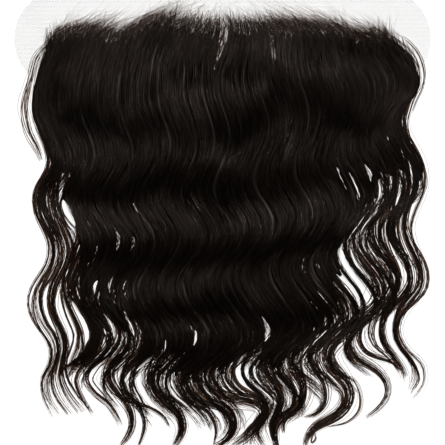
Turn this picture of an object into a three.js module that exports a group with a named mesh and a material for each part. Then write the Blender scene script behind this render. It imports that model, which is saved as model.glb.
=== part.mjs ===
// A lace frontal: a strip of fine lace, worn ear to ear along the front hairline, with long body-wave
// hair knotted into it. It lies flat on its back, as it does before it is fitted, with the hair combed down
// from the lace. Millimetres. X runs across, +Y points from the tips to the front edge of the lace, Z is up.
//
// The pieces are the lace, a lower layer of hair in two halves, an upper layer in three sections that
// two partings divide, and the short fine hair along the hairline. Each body of hair is a comb of locks:
// joined to its neighbours from the root down to where it parts from them, and loose from there to its tip.
import * as THREE from "three";

// Lace
const LACE_WIDTH = 358; // ear to ear
const LACE_END_RADIUS = 43; // the rounded ends
const LACE_MARGIN = 33; // bare lace in front of the hairline, in the middle
const LACE_FRONT_BOW = 6; // how far the front edge stands forward of its corners
const LACE_BACK_BOW = 24; // how far the back edge stands behind its corners
const LACE_THICKNESS = 1;

// Hair
const HAIRLINE_WIDTH = 304; // across, at the roots
const HAIRLINE_BOW = 7; // how far the hairline falls back from its middle to its corners
const HAIRLINE_CORNER = 28; // how far it falls back further, round its corners
const CORNER_SHARPNESS = 12; // the power by which it turns down there
const ROOT_HOLD = 0.06; // of the reach, over which the waves start
const LEFT_EDGE = 0.975; // of half of HAIR_WIDTH, where the upper layer ends on the left
const RIGHT_EDGE = 1.04; // the same on the right
const HAIR_WIDTH = 322; // between the middles of the outermost waves
const SPREAD_LENGTH = 52; // the way down over which hairline width opens to full width
const HAIR_REACH = 373; // from the hairline to the longest tip, as it lies waved
const WAVE_SWING = 14; // sideways, from the middle of a wave to its turn
const ROOT_THICKNESS = 2.6; // of the whole bed of hair, at the hairline
const BED_THICKNESS = 12; // of the whole bed of hair, at its fullest
const TIP_THICKNESS = 3; // of the whole bed of hair, at its tips
const LEAST_THICKNESS = 1.5; // of the upper layer alone
const CREST_HEIGHT = 4.5; // how far the waves stand above the bed
const LOWER_SHARE = 0.42; // of the bed's height, for the lower layer
const LOWER_START = 0.13; // of the reach, where the lower layer's roots begin
const TIP_LEFT = 0.16; // of a lock's width, left at its tip
const FIRST_APART = 0.06; // of a lock's taper, taken where it parts from its neighbour
const FLANK = 0.55; // of a lock's height, at its two edges

// How the bed's height runs, as shares of the reach from the roots
const BED_RISE = 0.16; // the bed has its full thickness from here
const BED_FALL = 0.5; // it thins from here to the tips
const EDGE_THINNING = 0.7; // of its height, lost at its left and right edges
const EDGE_POWER = 3; // how close to the edges that thinning keeps
const CREST_FADE = 0.6; // of a crest's height, lost at the tips
const LOWER_UP = 0.35; // of LOWER_START, where the upper layer starts to lift over the lower one
const LOWER_OVER = 0.8; // of LOWER_START, where it is clear of it

// Clearances
const LAYER_GAP = 0.5; // between the lower and the upper layer
const SECTION_GAP = 0.7; // between neighbouring sections
const LACE_GAP = 0.3; // between the lace and the hair on it

// Fine hair along the hairline
const FINE_LENGTH = 11; // of a tuft, forward of the hairline
const FINE_WIDTH = 7; // of a tuft, at its foot
const FINE_THICKNESS = 0.9;
const FINE_BAND = 3; // depth of the band that the tufts spring from
const FINE_LEAN = 0.9; // how far a tuft leans outwards, as a share of its length
const FINE_END = 0.9; // of the hairline's half, where the tufts stop
const FINE_GAP = 0.4; // between the band and the upper hair

// Behind the lace, the hair comes down to what the lace lies on
const RUN_OFF_CLEARANCE = 12; // behind the lace's back edge, where it starts to come down
const RUN_OFF_LENGTH = 30; // from there to where it is down

// Each turn of the waves: how far down it lies, as a share of HAIR_REACH, at five places evenly spaced
// from the left edge to the right, and its swing at both edges, as a share of WAVE_SWING.
// The turns lie alternately to the left and to the right.
const TURNS = [
  { down: [0.2, 0.182, 0.147, 0.106, 0.051], swing: [0.55, 0.12] },
  { down: [0.325, 0.309, 0.274, 0.212, 0.141], swing: [0.5, 0.33] },
  { down: [0.408, 0.412, 0.394, 0.336, 0.228], swing: [0.52, 0.5] },
  { down: [0.528, 0.512, 0.493, 0.44, 0.373], swing: [0.6, 0.7] },
  { down: [0.661, 0.624, 0.608, 0.562, 0.475], swing: [0.65, 0.9] },
  { down: [0.77, 0.733, 0.737, 0.694, 0.599], swing: [0.78, 0.97] },
  { down: [0.848, 0.839, 0.825, 0.786, 0.724], swing: [0.86, 1.05] },
  { down: [0.935, 0.947, 0.938, 0.869, 0.834], swing: [0.9, 1.05] },
  { down: [1.03, 1.04, 1.03, 0.97, 0.93], swing: [1, 1.1] },
  { down: [1.12, 1.13, 1.12, 1.07, 1.03], swing: [1, 1.1] },
];

// Each crest of the waves, seen from the side: how far down it lies at the same five places.
const CRESTS = [
  { down: [-0.02, 0.05, 0.06, 0.05, -0.02] },
  { down: [0.165, 0.3, 0.33, 0.325, 0.19] },
  { down: [0.42, 0.5, 0.512, 0.49, 0.4] },
  { down: [0.6, 0.64, 0.63, 0.6, 0.56] },
  { down: [0.73, 0.755, 0.75, 0.73, 0.69] },
  { down: [0.86, 0.87, 0.86, 0.85, 0.82] },
  { down: [1.05, 1.05, 1.05, 1.05, 1.05] },
];

// The two partings. at: how far across it ends, as a share of half of HAIR_WIDTH; start: the same at the
// hairline; open: its width in millimetres at the hairline; long: its length, as a share of HAIR_REACH.
const PARTINGS = [
  { at: 0, start: 0.02, open: 9, long: 0.13 },
  { at: 0.32, start: 0.3, open: 4, long: 0.13 },
];

// The upper layer's locks, from left to right in each section. wide: a share of the section's width;
// loose: the share of HAIR_REACH where the lock parts from the one on its right; tip: where it ends.
const UPPER = [
  {
    name: "hair_left",
    loose: 0.33,
    locks: [
      { wide: 0.1, loose: 0.36, tip: 0.86 },
      { wide: 0.12, loose: 0.44, tip: 0.88 },
      { wide: 0.13, loose: 0.57, tip: 0.9 },
      { wide: 0.16, loose: 0.6, tip: 0.92 },
      { wide: 0.17, loose: 0.79, tip: 0.99 },
      { wide: 0.16, loose: 0.8, tip: 0.91 },
      { wide: 0.16, loose: 0.8, tip: 0.93 },
    ],
  },
  {
    name: "hair_middle",
    loose: 0.8,
    locks: [
      { wide: 0.36, loose: 0.76, tip: 1 },
      { wide: 0.32, loose: 0.72, tip: 0.94 },
      { wide: 0.32, loose: 0.7, tip: 0.97 },
    ],
  },
  {
    name: "hair_right",
    loose: 0.7,
    locks: [
      { wide: 0.18, loose: 0.62, tip: 0.99 },
      { wide: 0.18, loose: 0.56, tip: 0.95 },
      { wide: 0.17, loose: 0.4, tip: 0.92 },
      { wide: 0.17, loose: 0.36, tip: 0.86 },
      { wide: 0.16, loose: 0.33, tip: 0.92 },
      { wide: 0.14, loose: 0.33, tip: 0.84 },
    ],
  },
];

// The lower layer's locks, written in the same way.
const LOWER_INSET = 0.06; // of half of HAIR_WIDTH, from the upper layer's edge to the lower layer's
const LOWER_SPLIT = 0.12; // across, where its two halves meet
const LOWER = [
  {
    name: "under_hair_left",
    loose: 0.4,
    locks: [
      { wide: 0.18, loose: 0.46, tip: 0.84 },
      { wide: 0.2, loose: 0.6, tip: 0.9 },
      { wide: 0.2, loose: 0.7, tip: 0.95 },
      { wide: 0.21, loose: 0.76, tip: 0.94 },
      { wide: 0.21, loose: 0.76, tip: 0.98 },
    ],
  },
  {
    name: "under_hair_right",
    loose: 0.76,
    locks: [
      { wide: 0.26, loose: 0.7, tip: 0.99 },
      { wide: 0.26, loose: 0.56, tip: 0.93 },
      { wide: 0.25, loose: 0.42, tip: 0.88 },
      { wide: 0.23, loose: 0.42, tip: 0.8 },
    ],
  },
];

// Rows of a comb, as shares of the way from a lock's root to HAIR_REACH
const TOP_ROWS = 10; // as far as WAVY_FROM
const WAVY_FROM = 0.34;
const WAVY_ROWS = 27; // from there to the longest tip
const LEAST_ROW = 0.01; // the shortest row, at a tip

const HALF_WIDTH = HAIR_WIDTH / 2;
const HALF_HAIRLINE = HAIRLINE_WIDTH / 2;

const smooth = (from, to, x) => {
  const t = THREE.MathUtils.clamp((x - from) / (to - from), 0, 1);
  return t * t * (3 - 2 * t);
};

// A value charted at evenly spaced places, read at across, which runs from -1 to 1.
function charted(values, across) {
  const place = THREE.MathUtils.clamp((across + 1) / 2, 0, 1) * (values.length - 1);
  const i = Math.min(Math.floor(place), values.length - 2);
  return THREE.MathUtils.lerp(values[i], values[i + 1], place - i);
}

// How far behind its middle the hairline lies.
function hairline(across) {
  const out = Math.min(Math.abs(across), 1);
  return HAIRLINE_BOW * out ** 2 + HAIRLINE_CORNER * out ** CORNER_SHARPNESS;
}

// The hairline as a share of HAIR_REACH.
const rootAt = (across) => hairline(across) / HAIR_REACH;

// The share of HAIR_REACH at a row, which is 0 at the root and 1 at the longest tip.
const downAt = (across, row) => THREE.MathUtils.lerp(rootAt(across), 1, row);

// Sideways, from the middle of the wave. The roots are held in their row.
function swing(across, down) {
  const held = smooth(0, ROOT_HOLD, down - rootAt(across));
  let before = { down: 0, offset: 0 };
  for (const [i, turn] of TURNS.entries()) {
    const side = i % 2 ? 1 : -1;
    const next = {
      down: charted(turn.down, across),
      offset: side * WAVE_SWING * charted(turn.swing, across),
    };
    if (down <= next.down) {
      const share = (down - before.down) / (next.down - before.down);
      const turned = (1 - Math.cos(Math.PI * THREE.MathUtils.clamp(share, 0, 1))) / 2;
      return held * THREE.MathUtils.lerp(before.offset, next.offset, turned);
    }
    before = next;
  }
  return held * before.offset;
}

// 1 on a crest, 0 in a trough.
function crest(across, down) {
  const places = CRESTS.map((row) => charted(row.down, across));
  const after = places.findIndex((place) => place > down);
  if (after < 1) return 0;
  const share = (down - places[after - 1]) / (places[after] - places[after - 1]);
  return (1 + Math.cos(2 * Math.PI * share)) / 2;
}

// The height of the whole bed of hair.
function bedHeight(across, down) {
  const risen = smooth(0, BED_RISE, down - rootAt(across));
  const spent = smooth(BED_FALL, 1, down);
  const full = THREE.MathUtils.lerp(ROOT_THICKNESS, BED_THICKNESS, risen);
  const bed = THREE.MathUtils.lerp(full, TIP_THICKNESS, spent);
  const waves = CREST_HEIGHT * crest(across, down) * risen * (1 - CREST_FADE * spent);
  const thinned = 1 - EDGE_THINNING * Math.min(Math.abs(across), 1) ** EDGE_POWER;
  return Math.max((bed + waves) * thinned, ROOT_THICKNESS);
}

// A point of the bed of hair: across and row say where, height is in millimetres above the floor.
function pointOn(across, row, height) {
  const down = downAt(across, row);
  const below = down * HAIR_REACH - hairline(across);
  const half = THREE.MathUtils.lerp(HALF_HAIRLINE, HALF_WIDTH, smooth(0, SPREAD_LENGTH, below));
  return [across * half + swing(across, down), -down * HAIR_REACH, height];
}

// The floor of the bed: on the lace at the front, and down on what the lace lies on behind it.
const LACE_BACK = 2 * LACE_END_RADIUS + LACE_BACK_BOW - (LACE_MARGIN - LACE_FRONT_BOW);
const RUN_OFF_START = LACE_BACK + RUN_OFF_CLEARANCE;
const RUN_OFF_END = RUN_OFF_START + RUN_OFF_LENGTH;
function floorOf(down) {
  return (LACE_THICKNESS + LACE_GAP) * (1 - smooth(RUN_OFF_START, RUN_OFF_END, down * HAIR_REACH));
}

function lowerTop(across, down) {
  const low = floorOf(down);
  return low + LOWER_SHARE * Math.max(bedHeight(across, down) - low, TIP_THICKNESS);
}

// The underside of the upper layer, which comes down onto the lace where there is no lower layer.
function upperFloor(across, down) {
  const below = (down - rootAt(across)) / LOWER_START;
  const onLower = smooth(LOWER_UP, LOWER_OVER, below);
  return THREE.MathUtils.lerp(floorOf(down), lowerTop(across, down) + LAYER_GAP, onLower);
}

const upperTop = (across, down) =>
  Math.max(bedHeight(across, down), upperFloor(across, down) + LEAST_THICKNESS);

const LAYERS = {
  upper: { floor: upperFloor, top: upperTop, start: 0 },
  lower: { floor: (across, down) => floorOf(down), top: lowerTop, start: LOWER_START },
};

// The rows that every comb shares, so that the layers stay nested.
const ROWS = [];
for (let i = 0; i < TOP_ROWS; i++) ROWS.push((WAVY_FROM * i) / TOP_ROWS);
for (let i = 0; i <= WAVY_ROWS; i++) ROWS.push(WAVY_FROM + ((1 - WAVY_FROM) * i) / WAVY_ROWS);

// A comb of locks as one closed body. edges: the section's left and right edge at a row.
function comb({ loose, locks }, layer, edges) {
  const faces = [];
  const quad = (a, b, c, d) => faces.push(a, b, c, a, c, d);
  const total = locks.reduce((sum, lock) => sum + lock.wide, 0);
  let passed = 0;
  locks.forEach((lock, i) => {
    const share = [passed / total, (passed + lock.wide) / total];
    passed += lock.wide;
    const parts = [i ? locks[i - 1].loose : loose, lock.loose];
    const rows = ROWS.filter((row) => row >= layer.start && row < lock.tip - LEAST_ROW);
    rows.push(lock.tip);
    if (layer.start && rows[0] > layer.start) rows.unshift(layer.start);
    // Left, ridge and right on top, left and right below
    const sections = rows.map((row) => {
      const [left, right] = edges(row);
      const ends = share.map((s) => THREE.MathUtils.lerp(left, right, s));
      const middle = (ends[0] + ends[1]) / 2;
      const [from, to] = ends.map((end, side) => {
        const tapered = smooth(parts[side], lock.tip, row);
        const apart = row <= parts[side] ? 0 : THREE.MathUtils.lerp(FIRST_APART, 1, tapered);
        return THREE.MathUtils.lerp(end, middle, (1 - TIP_LEFT) * apart);
      });
      const at = (across, share) => {
        const down = downAt(across, row);
        const low = layer.floor(across, down);
        return pointOn(across, row, low + share * (layer.top(across, down) - low));
      };
      return {
        joined: parts.map((start) => row <= start),
        top: [at(from, FLANK), at(middle, 1), at(to, FLANK)],
        bottom: [at(from, 0), at(to, 0)],
      };
    });
    const cap = ({ top: [a, b, c], bottom: [d, e] }, front) => {
      const fan = [d, a, b, d, b, c, d, c, e];
      faces.push(...(front ? fan : fan.reverse()));
    };
    cap(sections[0], true);
    cap(sections[sections.length - 1], false);
    for (let r = 0; r + 1 < sections.length; r++) {
      const [one, two] = [sections[r], sections[r + 1]];
      quad(one.top[0], two.top[0], two.top[1], one.top[1]);
      quad(one.top[1], two.top[1], two.top[2], one.top[2]);
      quad(one.bottom[0], one.bottom[1], two.bottom[1], two.bottom[0]);
      if (!i || !two.joined[0]) quad(one.top[0], one.bottom[0], two.bottom[0], two.top[0]);
      if (i === locks.length - 1 || !two.joined[1])
        quad(one.top[2], two.top[2], two.bottom[1], one.bottom[1]);
    }
  });
  return new THREE.BufferGeometry().setAttribute(
    "position",
    new THREE.Float32BufferAttribute(faces.flat(), 3),
  );
}

// Where a parting lies across at a row, and how far it is open there to each side.
function parting({ at, start, open, long }, row) {
  const closed = smooth(0, long, row);
  return {
    middle: THREE.MathUtils.lerp(start, at, closed),
    half: THREE.MathUtils.lerp(open, SECTION_GAP, closed) / 2 / HALF_WIDTH,
  };
}

// The lace: an outline with rounded ends and bowed edges.
function laceGeometry() {
  const corner = LACE_WIDTH / 2 - LACE_END_RADIUS;
  const middle = LACE_MARGIN - LACE_FRONT_BOW - LACE_END_RADIUS;
  const outline = new THREE.Shape();
  const front = middle + LACE_END_RADIUS;
  const back = middle - LACE_END_RADIUS;
  outline.absarc(corner, middle, LACE_END_RADIUS, -Math.PI / 2, Math.PI / 2);
  outline.quadraticCurveTo(0, front + 2 * LACE_FRONT_BOW, -corner, front);
  outline.absarc(-corner, middle, LACE_END_RADIUS, Math.PI / 2, (3 * Math.PI) / 2);
  outline.quadraticCurveTo(0, back - 2 * LACE_BACK_BOW, corner, back);
  return new THREE.ExtrudeGeometry(outline, {
    depth: LACE_THICKNESS,
    bevelEnabled: false,
    curveSegments: 16,
  });
}

// Tufts of short fine hair that lean outwards, on a narrow band along the hairline.
function fineHairGeometry(from, to) {
  const along = Math.abs(to - from) * HALF_HAIRLINE;
  const count = Math.round(along / FINE_WIDTH);
  const lean = Math.sign(from + to) * FINE_LEAN * FINE_LENGTH;
  const foot = (across, forward) =>
    new THREE.Vector2(across * HALF_HAIRLINE, -hairline(across) + FINE_GAP + forward);
  const band = [];
  const tufts = [];
  for (let i = 0; i <= count; i++) {
    const across = THREE.MathUtils.lerp(from, to, i / count);
    band.unshift(foot(across, 0));
    tufts.push(foot(across, FINE_BAND));
    if (i === count) continue;
    const tip = foot(THREE.MathUtils.lerp(from, to, (i + 0.5) / count), FINE_LENGTH);
    tufts.push(tip.clone().add(new THREE.Vector2(lean, 0)));
  }
  return new THREE.ExtrudeGeometry(new THREE.Shape([...tufts, ...band]), {
    depth: FINE_THICKNESS,
    bevelEnabled: false,
  });
}

const laceMaterial = new THREE.MeshStandardMaterial({ color: 0xf0f0ed, roughness: 0.9, metalness: 0 });
const hairMaterial = new THREE.MeshStandardMaterial({ color: 0x120d0b, roughness: 0.4, metalness: 0 });

function piece(name, geometry, material) {
  const mesh = new THREE.Mesh(geometry, material);
  mesh.name = name;
  return mesh;
}

const frontal = new THREE.Group();
frontal.add(piece("lace_base", laceGeometry(), laceMaterial));

const [leftParting, rightParting] = PARTINGS;
const upperEdges = [
  (row) => {
    const { middle, half } = parting(leftParting, row);
    return [-LEFT_EDGE, middle - half];
  },
  (row) => {
    const one = parting(leftParting, row);
    const two = parting(rightParting, row);
    return [one.middle + one.half, two.middle - two.half];
  },
  (row) => {
    const { middle, half } = parting(rightParting, row);
    return [middle + half, RIGHT_EDGE];
  },
];
UPPER.forEach((section, i) =>
  frontal.add(piece(section.name, comb(section, LAYERS.upper, upperEdges[i]), hairMaterial)),
);

const halfGap = SECTION_GAP / 2 / HALF_WIDTH;
const lowerEdges = [
  () => [LOWER_INSET - LEFT_EDGE, LOWER_SPLIT - halfGap],
  () => [LOWER_SPLIT + halfGap, RIGHT_EDGE - LOWER_INSET],
];
LOWER.forEach((half, i) =>
  frontal.add(piece(half.name, comb(half, LAYERS.lower, lowerEdges[i]), hairMaterial)),
);

const halfOpen = leftParting.open / HAIRLINE_WIDTH;
for (const [name, from, to] of [
  ["hairline_left", -FINE_END, leftParting.start - halfOpen],
  ["hairline_right", leftParting.start + halfOpen, FINE_END],
]) {
  const tufts = piece(name, fineHairGeometry(from, to), hairMaterial);
  tufts.position.z = LACE_THICKNESS + LACE_GAP;
  frontal.add(tufts);
}

// The frame's origin is under the middle of the whole piece.
const middle = new THREE.Box3().setFromObject(frontal).getCenter(new THREE.Vector3());
frontal.position.set(-middle.x, -middle.y, 0);

export default frontal;
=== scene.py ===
import math

import bpy
import numpy as np
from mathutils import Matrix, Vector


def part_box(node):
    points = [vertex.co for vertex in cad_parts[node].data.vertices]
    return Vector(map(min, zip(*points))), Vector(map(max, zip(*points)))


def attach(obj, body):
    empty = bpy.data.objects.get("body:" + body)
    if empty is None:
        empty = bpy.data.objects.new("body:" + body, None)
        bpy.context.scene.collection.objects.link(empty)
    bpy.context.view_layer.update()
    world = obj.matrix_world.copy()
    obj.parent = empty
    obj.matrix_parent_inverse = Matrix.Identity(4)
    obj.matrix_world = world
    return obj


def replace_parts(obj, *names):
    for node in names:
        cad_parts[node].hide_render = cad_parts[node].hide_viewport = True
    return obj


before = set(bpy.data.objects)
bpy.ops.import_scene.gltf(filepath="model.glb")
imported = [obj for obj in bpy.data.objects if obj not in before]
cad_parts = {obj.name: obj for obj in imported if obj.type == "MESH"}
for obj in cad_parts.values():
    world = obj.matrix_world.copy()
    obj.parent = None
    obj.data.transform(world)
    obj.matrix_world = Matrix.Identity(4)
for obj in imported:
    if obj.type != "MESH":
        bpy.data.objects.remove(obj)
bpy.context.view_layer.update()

MM = 0.001
PHOTO_FIELD = 0.3827  # width of what the camera sees
rng = np.random.default_rng(16)


def by_name(names, *rows):
    """A table's rows, each with its values under the names of the table's columns."""
    return [dict(zip(names, row)) for row in rows]


# Sizes that come from the frame
HAIR_NODES = ("hair_left", "hair_middle", "hair_right", "under_hair_left", "under_hair_right")
lace_low, lace_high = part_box("lace_base")
LACE_MARGIN = 33 * MM
HAIRLINE_Y = lace_high.y - LACE_MARGIN
REACH = HAIRLINE_Y - min(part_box(node)[0].y for node in HAIR_NODES)

# Sizes of the hair, as in the solids
HAIRLINE_WIDTH = 304 * MM
HAIR_WIDTH = 322 * MM
HAIRLINE_BOW = 7 * MM
HAIRLINE_CORNER = 28 * MM
CORNER_SHARPNESS = 12
ROOT_HOLD = 0.06
SPREAD_LENGTH = 52 * MM
WAVE_SWING = 14 * MM
ROOT_THICKNESS = 2.6 * MM
LACE_THICKNESS = 1 * MM

# Each turn of the waves, as in the solids: how far down it lies at five places across, as a share of
# REACH, and its swing at both edges, as a share of WAVE_SWING. The first is to the left, the next to the
# right, and so on.
TURNS = by_name(
    ("down", "swing"),
    ((0.2, 0.182, 0.147, 0.106, 0.051), (0.55, 0.12)),
    ((0.325, 0.309, 0.274, 0.212, 0.141), (0.5, 0.33)),
    ((0.408, 0.412, 0.394, 0.336, 0.228), (0.52, 0.5)),
    ((0.528, 0.512, 0.493, 0.44, 0.373), (0.6, 0.7)),
    ((0.661, 0.624, 0.608, 0.562, 0.475), (0.65, 0.9)),
    ((0.77, 0.733, 0.737, 0.694, 0.599), (0.78, 0.97)),
    ((0.848, 0.839, 0.825, 0.786, 0.724), (0.86, 1.05)),
    ((0.935, 0.947, 0.938, 0.869, 0.834), (0.9, 1.05)),
    ((1.03, 1.04, 1.03, 0.97, 0.93), (1, 1.1)),
    ((1.12, 1.13, 1.12, 1.07, 1.03), (1, 1.1)),
)

# Charts are drawn on squares, counted to the right and down from a corner ahead of the left end of
# the lace. A path has two rows of numbers: how far to the right its points lie, and how far down.
SQUARE = 0.86 * MM
CHART_MIDDLE = 220
CHART_HAIRLINE = 20

# The bed of hair seen from the side, on the chart: the crests and troughs of the waves at places across,
# each with its height in millimetres
CREST_PLACES = (40, 80, 120, 160, 200, 240, 280, 320, 360, 400)
CRESTS = by_name(
    ("row", "high"),
    ((61, 27, 23, 21, 20, 20, 21, 23, 28, 60), (2.6, 2.6, 2.6, 2.6, 2.6, 2.6, 2.6, 2.6, 2.6, 2.6)),
    ((94, 108, 120, 122, 134, 118, 88, 92, 118, 98), (8, 10.5, 11, 12, 13, 11.5, 9, 9, 9, 8)),
    ((120, 140, 142, 137, 144, 153, 106, 122, 138, 110), (4, 6, 8, 10.5, 13.8, 7, 6.5, 5.5, 5, 6)),
    ((168, 186, 184, 169, 167, 171, 167, 158, 176, 146), (9, 12, 14, 15, 16, 9, 11, 7.5, 8, 9)),
    ((190, 200, 202, 189, 201, 206, 200, 178, 188, 168), (6, 7, 8, 8, 7, 4.5, 7, 4.5, 5, 6)),
    ((220, 242, 248, 247, 246, 245, 240, 231, 230, 207), (9, 12.5, 14, 14.5, 13.5, 11, 13.5, 13, 10, 9)),
    ((243, 260, 266, 270, 266, 264, 254, 242, 242, 228), (6, 7, 8, 8.5, 8, 6, 8, 7, 6, 6)),
    ((278, 298, 312, 302, 300, 303, 310, 306, 278, 268), (9, 11, 12, 13, 12.5, 9, 11, 10, 8, 8)),
    ((298, 320, 328, 316, 314, 317, 327, 323, 302, 292), (5, 6, 7, 7.5, 6.5, 5.5, 7, 6, 5, 5)),
    ((336, 352, 352, 347, 344, 350, 352, 350, 336, 326), (7, 8, 8, 11, 11, 8, 8, 8, 6, 6)),
    ((360, 372, 368, 368, 372, 370, 374, 370, 360, 350), (4, 4, 5, 5, 5, 5, 5, 5, 4, 4)),
    ((400, 405, 402, 402, 402, 402, 402, 402, 395, 385), (4, 4, 4, 4, 4, 4, 4, 4, 4, 4)),
    ((470, 470, 470, 470, 470, 470, 470, 470, 470, 470), (3, 3, 3, 3, 3, 3, 3, 3, 3, 3)),
)

# The two partings. at: where it ends across; start: where it is at the hairline; open: its width there;
# long: where it is closed, as a share of REACH
PARTINGS = (
    {"at": -0.018, "start": 0.022, "open": 8 * MM, "long": 0.14},
    {"at": 0.3, "start": 0.275, "open": 2.1 * MM, "long": 0.17},
)
LEFT_EDGE = -1.0  # the outer edges of the dense hair, as places across
RIGHT_EDGE = 1.05

# The locks of the dense hair. across: the left and right edge, as shares of half of HAIR_WIDTH; split:
# where the wisps stand apart; dense: where light begins to come through; loose: where a lock begins to draw
# together; tip: where it ends, all four as shares of REACH; end: the share of its width that is left there
LOCKS = by_name(
    ("piece", "across", "split", "dense", "loose", "tip", "end"),
    ("left", (-0.97, -0.89), 0.95, 0.33, 0.3, 0.55, 0.5),
    ("left", (-0.89, -0.81), 0.95, 0.37, 0.34, 0.5, 0.6),
    ("left", (-0.81, -0.71), 0.95, 0.57, 0.52, 0.68, 0.5),
    ("left", (-0.71, -0.61), 0.95, 0.64, 0.58, 0.86, 0.3),
    ("left", (-0.61, -0.5), 0.95, 0.72, 0.62, 0.9, 0.3),
    ("left", (-0.5, -0.37), 0.95, 0.8, 0.72, 0.94, 0.3),
    ("left", (-0.37, -0.22), 0.95, 0.8, 0.76, 0.94, 0.5),
    ("left", (-0.22, -0.1), 0.95, 0.84, 0.8, 0.97, 0.5),
    ("left", (-0.1, -0.018), 0.95, 0.84, 0.8, 0.97, 0.5),
    ("middle", (-0.018, 0.08), 0.95, 0.82, 0.8, 0.95, 0.5),
    ("middle", (0.08, 0.16), 0.9, 0.78, 0.74, 0.9, 0.3),
    ("middle", (0.16, 0.3), 0.95, 0.8, 0.76, 0.94, 0.4),
    ("right", (0.3, 0.41), 0.95, 0.82, 0.76, 0.94, 0.4),
    ("right", (0.41, 0.5), 0.95, 0.74, 0.66, 0.92, 0.3),
    ("right", (0.5, 0.6), 0.9, 0.68, 0.64, 0.9, 0.3),
    ("right", (0.6, 0.7), 0.6, 0.6, 0.58, 0.88, 0.3),
    ("right", (0.7, 0.8), 0.5, 0.44, 0.44, 0.84, 0.35),
    ("right", (0.8, 0.89), 0.5, 0.36, 0.32, 0.72, 0.35),
    ("right", (0.89, 1.02), 0.5, 0.32, 0.3, 0.55, 0.5),
)

# How far the hair stands ahead of its even hairline, at places across
UNEVEN = by_name(
    ("across", "ahead"),
    (-0.96, 12 * MM),
    (-0.88, 3 * MM),
    (-0.76, -2.5 * MM),
    (-0.62, -10 * MM),
    (-0.4, 4.5 * MM),
    (-0.19, -3 * MM),
    (0.16, -5 * MM),
    (0.44, -1.5 * MM),
    (0.64, -2 * MM),
    (0.8, -6 * MM),
    (0.88, 0.7 * MM),
    (0.96, 11 * MM),
    (1.03, 17 * MM),
)

# The see-through sides, each a fan of narrow locks between a left and a right path. narrow: half a lock's
# width, in squares; slim: how thin its hairs are at first
FANS = by_name(
    ("piece", "locks", "hairs", "narrow", "slim", "left", "right"),
    (
        "left", 12, 10, 1.8, 0.5,
        (
            (66, 50, 41, 36, 33, 33, 38, 43, 45, 40, 31, 28, 31, 39, 45, 46, 42, 33, 27, 27, 34, 45, 48,
             44, 36, 35, 39, 49),
            (24, 35, 54, 76, 98, 118, 136, 150, 163, 175, 188, 202, 216, 230, 243, 256, 268, 282, 296,
             311, 327, 342, 354, 367, 378, 390, 402, 417),
        ),
        (
            (84, 66, 56, 50, 50, 52, 55, 59, 61, 59, 57, 58, 61, 66, 71, 73, 70, 64, 59, 58, 63, 71, 69,
             65, 67, 77, 94),
            (27, 42, 60, 80, 100, 118, 135, 150, 163, 178, 190, 202, 215, 228, 240, 252, 264, 277, 289,
             302, 318, 335, 350, 362, 376, 393, 412),
        ),
    ),
    (
        "left", 9, 10, 1.8, 0.5,
        (
            (90, 72, 60, 54, 54, 57, 61, 63, 64, 62, 61, 63, 68, 72, 72, 69, 64, 61, 58, 59, 63, 70, 75,
             73, 67, 63),
            (27, 44, 62, 84, 104, 122, 138, 152, 165, 178, 190, 200, 210, 221, 232, 243, 255, 268, 281,
             293, 306, 320, 335, 348, 361, 379),
        ),
        (
            (108, 88, 78, 74, 74, 77, 80, 82, 82, 84, 88, 92, 95, 94, 90, 85, 82, 84, 92, 97, 91, 80,
             67),
            (27, 46, 65, 86, 106, 126, 145, 162, 180, 196, 211, 226, 240, 252, 264, 277, 290, 305, 322,
             337, 350, 362, 377),
        ),
    ),
    (
        "left", 8, 12, 2.2, 0.6,
        (
            (84, 83, 80, 74, 69, 65, 63, 65, 71, 79, 85, 83, 74, 62),
            (205, 218, 231, 243, 255, 267, 279, 291, 304, 318, 332, 346, 358, 368),
        ),
        (
            (106, 108, 108, 105, 100, 95, 92, 93, 98, 105, 108, 101, 88, 74),
            (205, 220, 234, 247, 259, 270, 282, 295, 309, 324, 338, 351, 363, 374),
        ),
    ),
    (
        "right", 14, 11, 2.1, 0.95,
        (
            (344, 363, 378, 388, 388, 382, 374, 369, 371, 376, 381, 382, 378, 371, 369, 374, 384, 389,
             386, 376, 369, 366, 373, 385, 397),
            (32, 42, 55, 68, 86, 101, 115, 130, 145, 158, 172, 188, 204, 219, 234, 249, 262, 275, 290,
             305, 320, 333, 347, 356, 372),
        ),
        (
            (366, 385, 399, 410, 416, 418, 415, 410, 407, 405, 408, 414, 419, 421, 419, 412, 409, 415,
             423, 427, 424, 412, 401, 396, 402, 419, 420, 411),
            (32, 38, 46, 56, 67, 77, 89, 101, 112, 122, 134, 147, 160, 175, 192, 210, 228, 244, 259,
             274, 291, 304, 316, 330, 347, 366, 384, 399),
        ),
    ),
)

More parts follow.
